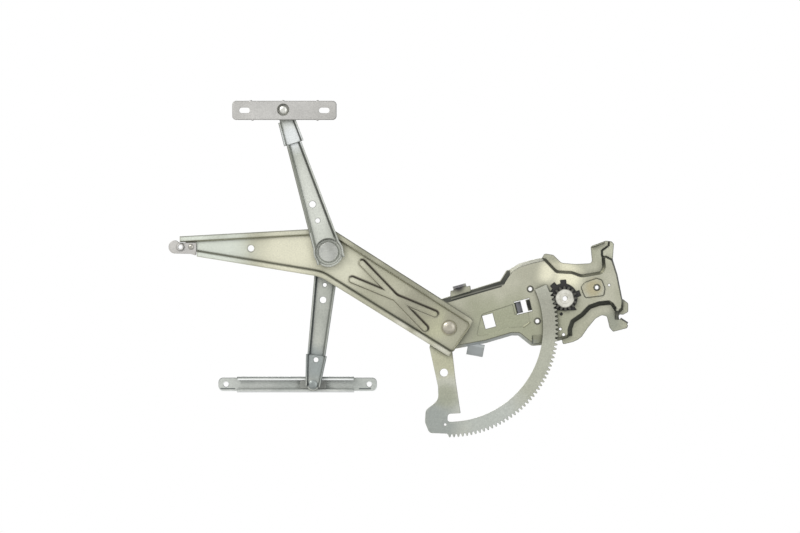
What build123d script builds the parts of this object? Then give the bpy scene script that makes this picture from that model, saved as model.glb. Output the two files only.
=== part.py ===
from build123d import *
import os
from math import acos, cos, pi, radians, sin, tan

# Window regulator: a base plate carries a sector arm, a scissor arm, a glass bracket and a guide
# rail. The origin is on the drive axis, in the base plate's front face. +X runs from the arms to
# the drive, +Z is up and the front of the regulator faces -Y. Lengths are in mm, angles in degrees.
# A height is measured from the base plate's front face towards the front.

# ---- driving dimensions -------------------------------------------------------------------------

# gear pair
gear_module = 1.75
sector_full_teeth = 156
pinion_teeth = 16
pressure_angle = 20.0
flank_backlash = 0.08
sector_tip_relief = 0.2
dedendum_factor = 1.25
drive_direction = 14.15          # from the main pivot to the drive axis

# sheets
plate_sheet = 1.5
arm_sheet = 2.0
sector_sheet = 3.0
bracket_sheet = 2.5
rail_sheet = 1.5

# how far a cut runs past a face, and a lap into its neighbour
overcut = 1.0

# gaps between bodies
swing_gap = 0.6                  # between sheets that pass each other
seat_gap = 0.3                   # between faces that turn on each other
running_gap = 0.05               # radial, in a bush
sector_gap = 1.0                 # between the base plate and the sector

# linkage, each arm from pivot to pivot, with its direction from +X
main_reach = 179.5
main_angle = 147.8
upper_reach = 187.0
upper_angle = 107.6
lower_reach = 168.7
lower_angle = 263.3
lift_reach = 186.6
lift_angle = 178.1

# base plate: the pressed face, from the drive axis
plate_depth = 8.0
plate_lean = 28.0
plate_corners = [
    (-176, -14), (-77, 16.5), (-66, 34), (-56, 40), (-44, 43.8), (-26, 47.8), (-11, 32),
    (9, 31), (21, 26.5), (48, 31), (51.5, 39), (50.5, 52.5), (59, 48), (65, 30), (72, -4),
    (71, -12), (67.5, -15), (61, -5.5), (56, -2.2), (43, -3.5), (30, -8), (20, -18.5),
    (7.5, -27), (3.5, -38.5), (4, -46), (-28.5, -54.7), (-40.5, -55.6), (-57, -42.6),
    (-67.5, -42.6), (-100, -52.2), (-142, -60), (-173, -44),
]
plate_radii = [
    14, 10, 8, 8, 10, 3, 9,
    10, 14, 7, 7, 1, 2, 8, 3,
    2, 1, 5, 5, 10, 12, 8,
    8, 9, 3, 3, 3, 7,
    10, 12, 14, 14,
]
# base plate: where its walls lean out further, as corners on the face and the lean
wide_walls = [
    ([(-165, -10.6), (-77, 16.5), (-69, 29.3), (-64, 30.5), (-62, 0), (-160, -30)], 41.0),
    (
        [(56, -2.2), (43, -3.5), (30, -8), (20, -18.5), (7.5, -27), (3.5, -38.5), (3.6, -41),
         (-4, -40), (-4, -14), (20, 6), (46, 7)],
        42.0,
    ),
]
# base plate: outline that trims its pressed walls upright along the drive's side
trim_corners = [
    (-200, -90), (-200, 90), (45, 90), (52, 73), (59, 72), (62.2, 69), (60.8, 49.5), (66.8, 30),
    (73.5, -4), (73, -90),
]
# base plate: shallow recess around the windows, step in the upper lip, and the toe that slopes
# back below the drive
recess_corners = [(-47.6, -1), (-105, -19.6), (-112, -48), (-96, -46), (-70, -37), (-52, -36), (-44, -30)]
recess_corner_r = 3.0
recess_depth = 0.5
recess_lean = 60.0
step_corners = [(53, 44), (51, 51), (48.5, 55), (48.5, 60), (57, 66), (58, 80), (70, 80), (70, 44)]
step_back = 4.0
step_lean = 46.0
toe_left = -41.0
toe_right = -4.0
toe_top = -45.5
toe_run = 16.0
toe_drop = 4.0
# base plate: flat lips against the door panel, as corners and their radii
lip_outlines = [
    (
        [(-34, 40), (-25.5, 57), (-14, 55), (-4, 45), (14, 43.5), (35, 44.5), (33, 66), (52, 73),
         (60.5, 72), (62.2, 66), (60.8, 49.5), (50, 20), (0, 20)],
        [1, 4, 4, 8, 8, 4, 3, 2, 3, 2, 1, 1, 1],
    ),
    (
        [(-6, -40), (-2, -58), (10.5, -55), (17, -52), (22, -48), (29.5, -37), (39, -25.5),
         (47, -21), (53.5, -22.5), (57, -37), (61.5, -42), (79, -37.5), (80.5, -33.5),
         (69, -26), (68, -20), (74, -20.5), (80.5, -17), (80.5, -6), (74, -1), (40, 5), (10, -15)],
        [1, 2, 3, 4, 4, 8, 8, 5, 3, 4, 2, 2, 2, 3, 2, 2, 3, 3, 2, 1, 1],
    ),
    ([(-144.5, -8), (-144, 9.5), (-119, 16.3), (-117, 0)], [1, 1, 1, 1]),
]
# base plate: openings, from the drive axis
drive_opening_r = 17.4
drive_opening_middle = (-1.8, 1.4)
drive_opening_floor = -14.5
drive_notches = [(131, 24.0), (95, 23.5), (20, 20.5), (-54, 20.5), (172, 20.5)]
drive_notch_width = 7.0
pad_corners = [(20, 15), (26, 21), (40, 26), (47, 23.5), (51, 13), (49.5, 3.5), (26, 0.5), (23, 6.5)]
pad_height = 1.2
pad_corner_r = 3.0
pad_lean = 30.0
plate_windows = [(-95.5, -28.5, 13.5, 17.0, 15.0), (-52.5, -10.0, 20.0, 16.5, 14.0)]
lug_drop = 7.0
lug_runs = [(0.0, 5.0), (180.0, 8.5)]
lug_width = 14.5
# base plate: sheet bent back from its edges, as place, direction, depth, run, drop and width
lip_depth = plate_depth - plate_sheet
edge_flaps = [
    (-131.8, 12.4, 105.2, lip_depth, 3.2, 6.0, 17.0),
    (-111.0, -57.0, 260.0, lip_depth, 12.0, 5.5, 21.0),
    (74.4, -29.8, 56.9, lip_depth, 1.6, 4.0, 11.0),
    (66.6, -12.0, 268.0, 0.0, 12.0, lip_depth, 4.4),
]
tab_flange = (42.2, 68.2, 17.0, 20.2)
tab_flange_height = 6.0
plate_small_holes = [(-4.5, -19.5, 1.8), (-5.5, -38.5, 1.6), (-1.5, -45.5, 1.8), (56.0, 17.0, 1.5)]
face_fixings = [(-43.5, 12.0), (-34.5, -28.5)]
pad_fixing = (40.5, 14.0)
motor_screw_r = 2.5
nut_collar_r = 4.0
nut_collar_height = 0.5
nut_collar_chamfer = 0.35
nut_r = 6.0
nut_length = 6.0

# crowned heads, as shares of the head's radius and of its height from the rim in
crown_shares = [(1.0, 0.35), (0.8, 0.75), (0.5, 1.0), (0.0, 1.0)]

# main pivot
main_stud_r = 5.5
main_tail_r = 9.0
main_bush_r = 8.0
main_bush_flange_r = 9.7
main_washer_r = 11.0
main_head_r = 7.9
main_head_height = 2.6
bush_flange = 0.8

# drive
pinion_width = 5.0
pinion_back = 0.5
pinion_hub_r = 9.0
pinion_shoulder_r = 11.0
pinion_boss_r = 10.8
pinion_boss_height = 0.8
pinion_collar_r = 6.3
pinion_collar_height = 0.6
drive_bore_r = 3.15
drive_bearing_r = 24.5
drive_bearing_height = 3.0
drive_clip_gap = 0.3
coupling_r = 14.0
coupling_height = 3.0
coupling_slots = 3
coupling_slot_width = 4.0
coupling_slot_depth = 2.0

# sector gear, from the main pivot
band_inner_r = 118.5
band_end_angle = 24.0
band_corner_r = 3.0
first_tooth_angle = -90.0
last_tooth_angle = 19.5
hub_lobe_r = 19.0
leg_gap_side = -2.0
leg_corners = [
    (-15, 0), (-25, -24), (-14, -74), (-13.5, -91), (-29.5, -104), (-30.5, -119),
    (-25, -132.6), (leg_gap_side, -133.4), (leg_gap_side, -108.5), (14.5, -107.7), (8, -64),
    (3, -20), (10, 0),
]
leg_radii = [1, 6, 18, 12, 7, 10, 6, 0.3, 4, 1, 30, 20, 1]
leg_holes = [(-6.5, -56.5, 5.0), (-5.0, -122.0, 1.6)]

# main arm, from the main pivot
main_depth = 7.0
main_lean = 20.0
main_lip = 4.0
main_web_lift_corners = [(-9.6, 6.2), (-7.6, -0.8)]             # from the lift point
main_web_cross_corners = [(0.9, 23.3), (-8.1, -25.1)]           # from the cross pivot
main_web_pivot_corners = [(28, 4.5), (4, -31)]
main_web_radii = [2, 14, 6, 4, 45, 2]
main_pivot_opening = [(31, 9), (70, 9), (70, -70), (-5, -70), (0, -36), (4, -30), (26, 1)]
main_lift_opening = [(-21.6, 28.2), (-0.6, 28.2), (-0.6, 6.1), (20.9, 6.1), (20.9, -31.8), (-21.6, -31.8)]
main_lift_cut = [(-21.6, 28.2), (-0.6, 28.2), (-0.6, 6.1), (6.4, 6.1), (6.4, -41.8), (-21.6, -41.8)]
bead_middles = [(5.9, -7.3), (5.9, -8.8)]                       # from midway to the cross pivot
bead_ends = [(45.4, -48.3), (57.9, -30.3)]
bead_width = 9.0
bead_height = 1.8
bead_lean = 30.0
bead_wall = 1.6
main_hole_offset = (-4.4, 1.3)                                  # from midway to the lift point
main_hole_r = 4.0

# lift tongue, from the lift point
tongue_corners = [(-14.8, 8.2), (-5, 8.2), (-1.2, 5.5), (20.5, 5.5), (20, -11), (13, -8.8), (-14.8, -8.2)]
tongue_radii = [8.0, 2, 2, 1.5, 1.5, 10, 8.0]
lift_hole_r = 2.6
lift_collar_r = 4.8
lift_collar_height = 2.0
lift_collar_lean = 10.0
rivet_offset = 13.5
rivet_r = 2.2
rivet_head_r = 3.4
rivet_head_height = 1.2

# cross arm channels: half widths at the foot and the tip of the web, and where the walls run
cross_depth = 8.0
cross_lean = 22.0
upper_half_widths = (15.0, 6.4)
upper_fitting = 44.0
upper_eye_length = 14.0
upper_tongue_gap = 1.0
upper_tongue_half_width = 5.9
upper_walls = (-12.0, upper_reach - upper_fitting)
upper_holes = [(63.0, 1.0, 4.2), (41.5, 1.0, 3.0)]
upper_end_half_widths = (10.4, 8.6)
upper_end_walls = (upper_reach - upper_fitting, upper_reach - upper_eye_length)
upper_tongue_end = upper_end_walls[1] - upper_tongue_gap
upper_end_r = 9.5
lower_depth = 6.5
lower_half_widths = (12.0, 8.8)
lower_fitting = 37.7
lower_hole_margin = 31.7
lower_tongue_margin = 16.7
lower_end_overrun = 2.3
lower_walls = (24.0, lower_reach - lower_fitting)
lower_tongue_end = lower_reach - lower_tongue_margin
lower_eye_r = 15.0
lower_holes = [(42.0, 0.0, 2.5), (61.0, 0.0, 4.2), (lower_reach - lower_hole_margin, 0.0, 3.1)]
lower_end_half_widths = (11.4, 7.6)
lower_end_walls = (lower_reach - lower_fitting, lower_reach + lower_end_overrun)
lower_end_r = 8.0

# cross pivot
cross_pin_r = 8.0
cross_bush_r = 10.0
cross_bush_flange_r = 12.0
cross_spacer_r = 13.0
cross_tail_r = 7.0
cross_tail_head_r = 10.0
cross_tail_height = 1.4
cross_disc_r = 12.6
cross_disc_height = 2.5
cross_disc_chamfer = 0.6
cross_cup_r = 15.3
cross_rim_r = 18.9
cross_cup_lean = 1.8

# glass bracket
bracket_length = 131.0
bracket_width = 24.0
bracket_corner_r = 5.0
bracket_shift = (1.5, -0.8)
bracket_edge_bend = 0.9
bracket_nubs = [(-40.5, 1), (0.0, 1), (43.0, 1), (-38.5, -1), (43.0, -1)]
nub_r = 2.2
nub_sink = 1.2
glass_slot_spacing = 100.0
glass_slot_length = 13.3
glass_slot_width = 7.0
dish_floor_r = 6.4
dish_lean = 14.0
bracket_pin_r = 4.5
bracket_head_r = 5.4
bracket_head_height = 2.2
bracket_rivet_r = 3.6
bracket_tail_r = 6.0
bracket_tail_height = 1.2

# guide rail, from the shoe pivot, and its shoe
rail_depth = 9.0
rail_height = 20.0
rail_slot = 11.0
rail_ends = (-120.0, 80.5)
rail_channel = (-96.0, 51.5)
rail_pad_height = 17.0
rail_pad_corner_r = 6.0
rail_hole_margin = 9.7
rail_hole_r = 3.2
rail_bend_r = 2.0
shoe_length = 33.0
shoe_boss_r = 7.5
shoe_boss_height = 1.5
shoe_play = 0.4
shoe_corner_r = 2.0
shoe_pin_r = 4.0
shoe_head_r = 6.0
shoe_head_height = 1.8
shoe_tail_r = 5.6
shoe_tail_height = 1.4

# ---- derived places -----------------------------------------------------------------------------


def polar(start, length, angle):
    """The point at a length and an angle from a start."""
    return (start[0] + length * cos(radians(angle)), start[1] + length * sin(radians(angle)))


sector_r = gear_module * sector_full_teeth / 2
pinion_r = gear_module * pinion_teeth / 2
tooth_pitch = 360.0 / sector_full_teeth

drive = (0.0, 0.0)
main_pivot = polar(drive, -(sector_r + pinion_r), drive_direction)
cross_pivot = polar(main_pivot, main_reach, main_angle)
bracket_pivot = polar(cross_pivot, upper_reach, upper_angle)
shoe_pivot = polar(cross_pivot, lower_reach, lower_angle)
lift_point = polar(cross_pivot, lift_reach, lift_angle)
rivet_point = (lift_point[0] + rivet_offset, lift_point[1])


def shifted(points, start):
    """Points moved by a start."""
    return [(start[0] + point[0], start[1] + point[1]) for point in points]


# places seen from the main pivot
cross_place = polar((0, 0), main_reach, main_angle)
lift_place = polar(cross_place, lift_reach, lift_angle)
bead_place = (cross_place[0] / 2, cross_place[1] / 2)
hole_place = ((cross_place[0] + lift_place[0]) / 2, (cross_place[1] + lift_place[1]) / 2)
main_web_lift = shifted(main_web_lift_corners, lift_place)
main_web_cross = shifted(main_web_cross_corners, cross_place)
main_web_corners = [
    main_web_lift[0], main_web_cross[0], *main_web_pivot_corners, main_web_cross[1], main_web_lift[1],
]
motor_fixings = [*face_fixings, pad_fixing]

# heights
sector_back = sector_gap
main_back = sector_back + sector_sheet
main_face = main_back + arm_sheet
main_top = main_back + main_depth
main_bush_top = main_face + bush_flange
main_head_back = main_bush_top + seat_gap
cup_back = main_face + seat_gap
cup_face = cup_back + arm_sheet
upper_back = main_top + swing_gap
upper_face = upper_back + arm_sheet
upper_top = upper_back + cross_depth
upper_end_face = upper_face + arm_sheet
dish_floor_back = upper_end_face + seat_gap
dish_floor_face = dish_floor_back + arm_sheet
bracket_back = upper_top + swing_gap
bracket_face = bracket_back + bracket_sheet
bracket_head_back = dish_floor_face + seat_gap
cross_bush_back = main_back - bush_flange
spacer_top = cross_bush_back - seat_gap
lower_top = main_back - swing_gap
lower_back = lower_top - lower_depth
lower_face = lower_back + arm_sheet
lower_end_face = lower_face + arm_sheet
shoe_top = lower_back - seat_gap
shoe_step = shoe_top - shoe_boss_height
rail_top = shoe_step - seat_gap
rail_back = rail_top - rail_depth
rail_face = rail_back + rail_sheet
shoe_back = rail_face + shoe_play
shoe_tail_top = shoe_back + seat_gap + shoe_tail_height
nut_back = -plate_sheet - nut_length
drive_bearing_back = -plate_sheet - drive_bearing_height
pinion_boss_top = pinion_back + pinion_width + pinion_boss_height
coupling_top = drive_bearing_back - seat_gap
coupling_back = coupling_top - coupling_height


def facing(height, datum=drive, turn=0.0):
    """A plane at a height, seen from the front, with its X turned from +X about the datum."""
    along = (cos(radians(turn)), 0, sin(radians(turn)))
    return Plane(origin=(datum[0], -height, datum[1]), x_dir=along, z_dir=(0, -1, 0))


def panel(plane, corners, radii, inset=0.0):
    """A flat outline with rounded corners, moved inwards by the inset."""
    with BuildSketch(plane) as flat:
        with BuildLine():
            FilletPolyline(*corners, radius=radii, close=True)
        make_face()
        if inset:
            offset(amount=-inset, kind=Kind.INTERSECTION)
    return flat.sketch


def turned(datum, profile):
    """A solid turned about a pivot's axis from (radius, height) corners."""
    axis_plane = Plane(origin=(datum[0], 0, datum[1]), x_dir=(1, 0, 0), z_dir=(0, 0, -1))
    with BuildPart() as body:
        with BuildSketch(axis_plane):
            with BuildLine():
                Polyline(*profile, close=True)
            make_face()
        revolve(axis=Axis((datum[0], 0, datum[1]), (0, -1, 0)))
    return body.part


def ring(inner_r, outer_r, low, high):
    """Corners of a ring's section, for turned."""
    return [(inner_r, low), (outer_r, low), (outer_r, high), (inner_r, high)]


def crown(radius, low, height):
    """Corners of a crowned head from its rim in to its axis, for turned."""
    return [(radius * share_r, low + height * share_h) for share_r, share_h in crown_shares]


def wall_inset(sheet, lean):
    """How far a leaning wall's inside is inset at the web's inner face."""
    return sheet / cos(radians(lean)) - sheet * tan(radians(lean))


def channel(angle, back, top, half_widths, walls):
    """A tapering channel along a cross arm, open at both ends, with walls that lean outwards."""
    foot, tip = half_widths
    start, end = walls
    length = end - start
    overrun = 2 * cross_depth
    flare = overrun * (foot - tip) / length
    web = [
        (start - overrun, foot + flare), (end + overrun, tip - flare),
        (end + overrun, flare - tip), (start - overrun, -foot - flare),
    ]
    with BuildPart() as body:
        extrude(
            panel(facing(back, cross_pivot, angle), web, 0.0),
            amount=top - back, taper=-cross_lean,
        )
        extrude(
            panel(
                facing(back + arm_sheet, cross_pivot, angle), web, 0.0,
                wall_inset(arm_sheet, cross_lean),
            ),
            amount=top - back, taper=-cross_lean, mode=Mode.SUBTRACT,
        )
        with BuildSketch(facing(back, cross_pivot, angle)):
            with Locations(((start + end) / 2, 0)):
                Rectangle(length, 4 * (foot + top - back))
        extrude(amount=top - back, mode=Mode.INTERSECT)
    return body.part


def save(body, name):
    """Labels a finished piece and writes it."""
    body.part.label = name
    export_step(body.part, f"parts/{name}.step")


os.makedirs("parts", exist_ok=True)


# ---- gear teeth ---------------------------------------------------------------------------------


def involute(angle):
    return tan(angle) - angle


def tooth(teeth, tip_relief=0.0):
    """One tooth's face on local +X, with involute flanks, sunk a little into the rim."""
    pitch_r = gear_module * teeth / 2
    base_r = pitch_r * cos(radians(pressure_angle))
    tip_r = pitch_r + gear_module - tip_relief
    root_r = pitch_r - dedendum_factor * gear_module
    start_r = max(base_r, root_r)
    middle_r = (start_r + tip_r) / 2
    half_at_pitch = pi / (2 * teeth) - flank_backlash / pitch_r

    def flank(radius, side):
        flare = involute(radians(pressure_angle)) - involute(acos(base_r / max(radius, base_r)))
        angle = side * (half_at_pitch + flare)
        return (radius * cos(angle), radius * sin(angle))

    sunk_r = root_r - sector_tip_relief
    with BuildSketch() as face:
        with BuildLine():
            Line(flank(sunk_r, -1), flank(start_r, -1))
            ThreePointArc(flank(start_r, -1), flank(middle_r, -1), flank(tip_r, -1))
            Line(flank(tip_r, -1), flank(tip_r, 1))
            ThreePointArc(flank(tip_r, 1), flank(middle_r, 1), flank(start_r, 1))
            Line(flank(start_r, 1), flank(sunk_r, 1))
            Line(flank(sunk_r, 1), flank(sunk_r, -1))
        make_face()
    return face.sketch


# ---- base plate ---------------------------------------------------------------------------------


def drive_opening(plane, gap=0.0):
    """The notched opening around the drive, made smaller all round by a gap."""
    with BuildSketch(plane) as opening:
        with Locations(drive_opening_middle):
            Circle(drive_opening_r - gap)
        for notch_angle, notch_reach in drive_notches:
            with Locations(Rot(0, 0, notch_angle)):
                Rectangle(
                    notch_reach - gap, drive_notch_width - 2 * gap,
                    align=(Align.MIN, Align.CENTER),
                )
        with Locations((0, drive_opening_floor + gap)):
            Rectangle(
                2 * drive_opening_r, drive_opening_r,
                align=(Align.CENTER, Align.MAX), mode=Mode.SUBTRACT,
            )
    return opening.sketch


def pressed_form(sheet=0.0):
    """The space that the pressed plate encloses, from its outside or from inside its sheet."""
    with BuildPart() as form:
        # the face with walls that lean out to the back
        extrude(
            panel(facing(-sheet), plate_corners, plate_radii, wall_inset(sheet, plate_lean)),
            amount=-plate_depth, taper=-plate_lean,
        )
        for wide_corners, lean in wide_walls:
            extrude(
                panel(facing(-sheet), wide_corners, 0.0, wall_inset(sheet, lean)),
                amount=-plate_depth, taper=-lean,
            )
        # step between the face and the upper lip
        extrude(
            panel(facing(-sheet - step_back), step_corners, 0.0, wall_inset(sheet, step_lean)),
            amount=step_back - plate_depth, taper=-step_lean,
        )
        extrude(
            panel(facing(0), trim_corners, 0.0, sheet), amount=-2 * plate_depth, mode=Mode.INTERSECT,
        )
        # the toe slopes back below the drive
        toe_plane = Plane(origin=(toe_left - sheet, 0, 0), x_dir=(0, 0, 1), z_dir=(1, 0, 0))
        toe_skin = sheet * Vector(toe_run, toe_drop).length / toe_run
        with BuildSketch(toe_plane):
            with BuildLine():
                Polyline(
                    (toe_top, -toe_skin), (toe_top - toe_run, -toe_skin - toe_drop),
                    (toe_top - toe_run, toe_drop), (toe_top, toe_drop), close=True,
                )
            make_face()
        extrude(amount=toe_right - toe_left + 2 * sheet, mode=Mode.SUBTRACT)
        # shallow recess around the windows
        extrude(
            panel(facing(-sheet), recess_corners, recess_corner_r),
            amount=-recess_depth, taper=recess_lean, mode=Mode.SUBTRACT,
        )
        # raised pad around the outer motor fixing
        extrude(
            panel(facing(-sheet), pad_corners, pad_corner_r, wall_inset(sheet, pad_lean)),
            amount=pad_height, taper=pad_lean,
        )
    return form.part


def flap(place, turn, depth, run, drop, width):
    """A sheet that leaves a place at a depth behind the face and leans along its direction."""
    side = Plane(
        origin=(place[0], depth, place[1]),
        x_dir=(cos(radians(turn)), 0, sin(radians(turn))),
        z_dir=(-sin(radians(turn)), 0, cos(radians(turn))),
    )
    skin = plate_sheet * Vector(run, drop).length / drop
    with BuildPart() as body:
        with BuildSketch(side):
            with BuildLine():
                Polyline((0, 0), (skin, 0), (skin + run, drop), (run, drop), close=True)
            make_face()
        extrude(amount=width / 2, both=True)
    return body.part


with BuildPart() as base_plate:
    add(pressed_form())
    # flat lips at the back, where the plate lies on the door panel
    for lip_corners, lip_radii in lip_outlines:
        extrude(panel(facing(-plate_depth), lip_corners, lip_radii), amount=plate_sheet)
    # the hollow behind the face
    add(pressed_form(plate_sheet), mode=Mode.SUBTRACT)
    # flange folded forwards on the upper lip's end
    flange_x, flange_z, flange_length, flange_turn = tab_flange
    with BuildSketch(facing(-plate_depth)):
        with Locations(Location((flange_x, flange_z), flange_turn)):
            Rectangle(flange_length, plate_sheet)
    extrude(amount=tab_flange_height)
    # opening around the drive, with relief notches and a straight lower edge
    extrude(drive_opening(facing(pad_height)), amount=-plate_depth, mode=Mode.SUBTRACT)
    # holes for the motor nuts and the main stud, small holes and windows
    with BuildSketch(facing(pad_height)):
        with Locations(*motor_fixings):
            Circle(nut_collar_r)
        with Locations(main_pivot):
            Circle(main_stud_r)
        for hole_x, hole_z, hole_r in plate_small_holes:
            with Locations((hole_x, hole_z)):
                Circle(hole_r)
        for window_x, window_z, window_width, window_height, window_turn in plate_windows:
            with Locations(Location((window_x, window_z), window_turn)):
                Rectangle(window_width, window_height)
    extrude(amount=-2 * plate_depth, mode=Mode.SUBTRACT)
    # lugs bent back from both sides of the large window
    lug_x, lug_z, lug_window_width, _, lug_turn = plate_windows[1]
    for lug_side, lug_run in lug_runs:
        lug_place = polar((lug_x, lug_z), lug_window_width / 2, lug_turn + lug_side)
        add(flap(lug_place, lug_turn + lug_side, 0, -lug_run, lug_drop, lug_width))
    # edges bent back from the lips and the foot
    for flap_x, flap_z, *flap_sizes in edge_flaps:
        add(flap((flap_x, flap_z), *flap_sizes))
save(base_plate, "base_plate")

with BuildPart() as motor_nuts:
    for nut_place in motor_fixings:
        nut_seat = pad_height if nut_place == pad_fixing else 0.0
        nut_rim = nut_seat + nut_collar_height
        add(turned(nut_place, [
            (motor_screw_r, nut_back), (nut_r, nut_back), (nut_r, nut_seat - plate_sheet),
            (nut_collar_r, nut_seat - plate_sheet), (nut_collar_r, nut_rim - nut_collar_chamfer),
            (nut_collar_r - nut_collar_chamfer, nut_rim), (motor_screw_r, nut_rim),
        ]))
save(motor_nuts, "motor_nuts")

# ---- main pivot ---------------------------------------------------------------------------------

with BuildPart() as main_stud:
    add(turned(main_pivot, [
        (0, -plate_depth + plate_sheet), (main_tail_r, -plate_depth + plate_sheet),
        (main_tail_r, -plate_sheet), (main_stud_r, -plate_sheet), (main_stud_r, main_head_back),
        (main_head_r, main_head_back), *crown(main_head_r, main_head_back, main_head_height),
    ]))
save(main_stud, "main_stud")

with BuildPart() as main_washer:
    add(turned(main_pivot, ring(main_stud_r, main_washer_r, 0, sector_back - seat_gap)))
save(main_washer, "main_washer")

with BuildPart() as main_bush:
    add(turned(main_pivot, [
        (main_stud_r + running_gap, sector_back), (main_bush_r, sector_back),
        (main_bush_r, main_face), (main_bush_flange_r, main_face),
        (main_bush_flange_r, main_bush_top), (main_stud_r + running_gap, main_bush_top),
    ]))
save(main_bush, "main_bush")

# ---- drive --------------------------------------------------------------------------------------

with BuildPart() as pinion:
    with BuildSketch(facing(pinion_back)):
        Circle(pinion_r - dedendum_factor * gear_module)
        for turn in range(pinion_teeth):
            # a gap faces the sector's tooth on the line of centres
            add(tooth(pinion_teeth), rotation=180 + drive_direction + (turn + 0.5) * 360 / pinion_teeth)
    extrude(amount=pinion_width)
    with BuildSketch(facing(coupling_back)):
        Circle(pinion_hub_r)
    extrude(amount=pinion_back - coupling_back)
    # shoulder that runs on the bearing
    with BuildSketch(facing(seat_gap - plate_sheet)):
        Circle(pinion_shoulder_r)
    extrude(amount=pinion_back + plate_sheet - seat_gap)
    with BuildSketch(facing(pinion_back + pinion_width)):
        Circle(pinion_boss_r)
    extrude(amount=pinion_boss_height)
    with BuildSketch(facing(pinion_boss_top)):
        Circle(pinion_collar_r)
    extrude(amount=pinion_collar_height)
    # bore with a chamfered mouth
    add(
        turned(drive, [
            (0, coupling_back), (drive_bore_r, coupling_back), (drive_bore_r, pinion_boss_top),
            (drive_bore_r + pinion_collar_height, pinion_boss_top + pinion_collar_height),
            (0, pinion_boss_top + pinion_collar_height),
        ]),
        mode=Mode.SUBTRACT,
    )
save(pinion, "pinion")

with BuildPart() as drive_bearing:
    with BuildSketch(facing(-plate_sheet)):
        Circle(drive_bearing_r)
    extrude(amount=-drive_bearing_height)
    # raised face that keys into the notched opening, sunk around the pinion's shoulder
    extrude(drive_opening(facing(-plate_sheet), drive_clip_gap), amount=plate_sheet)
    with BuildSketch(facing(0)):
        Circle(pinion_shoulder_r + drive_clip_gap)
    extrude(amount=-plate_sheet, mode=Mode.SUBTRACT)
    with BuildSketch(facing(0)):
        Circle(pinion_hub_r + running_gap)
    extrude(amount=drive_bearing_back, mode=Mode.SUBTRACT)
save(drive_bearing, "drive_bearing")

with BuildPart() as drive_coupling:
    with BuildSketch(facing(coupling_back)):
        Circle(coupling_r)
        Circle(pinion_hub_r, mode=Mode.SUBTRACT)
    extrude(amount=coupling_height)
    # slots that take the motor's dogs
    with BuildSketch(facing(coupling_back)):
        with PolarLocations(coupling_r, coupling_slots):
            Rectangle(coupling_r - pinion_hub_r, coupling_slot_width)
    extrude(amount=coupling_slot_depth, mode=Mode.SUBTRACT)
save(drive_coupling, "drive_coupling")

# ---- sector gear --------------------------------------------------------------------------------

teeth_below = int((drive_direction - first_tooth_angle) // tooth_pitch)
teeth_above = int((last_tooth_angle - drive_direction) // tooth_pitch)
fan_bottom = first_tooth_angle - tooth_pitch / 2
fan_middle = (fan_bottom + band_end_angle) / 2

with BuildPart() as sector_gear:
    with BuildSketch(facing(sector_back, main_pivot)) as sector_face:
        # toothed band, trimmed to its angle by a fan of two triangles
        Circle(sector_r - dedendum_factor * gear_module)
        Circle(band_inner_r, mode=Mode.SUBTRACT)
        with BuildLine():
            fan_rays = [polar((0, 0), 2 * sector_r, ray) for ray in (fan_bottom, fan_middle, band_end_angle)]
            Polyline((0, 0), *fan_rays, close=True)
        make_face(mode=Mode.INTERSECT)
        # leg with its foot, and the lobe on the main pivot
        with BuildLine():
            FilletPolyline(*leg_corners, radius=leg_radii, close=True)
        make_face()
        Circle(hub_lobe_r)
        # round the gap's corner between the leg's foot and the band
        gap_corner = Vector(leg_gap_side, -band_inner_r)
        fillet(sector_face.vertices().sort_by_distance(gap_corner)[0], band_corner_r)
        for step in range(-teeth_above, teeth_below + 1):
            add(tooth(sector_full_teeth, sector_tip_relief), rotation=drive_direction - step * tooth_pitch)
        Circle(main_bush_r, mode=Mode.SUBTRACT)
        for hole_x, hole_z, hole_r in leg_holes:
            with Locations((hole_x, hole_z)):
                Circle(hole_r, mode=Mode.SUBTRACT)
    extrude(amount=sector_sheet)
save(sector_gear, "sector_gear")

# ---- main arm -----------------------------------------------------------------------------------

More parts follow.
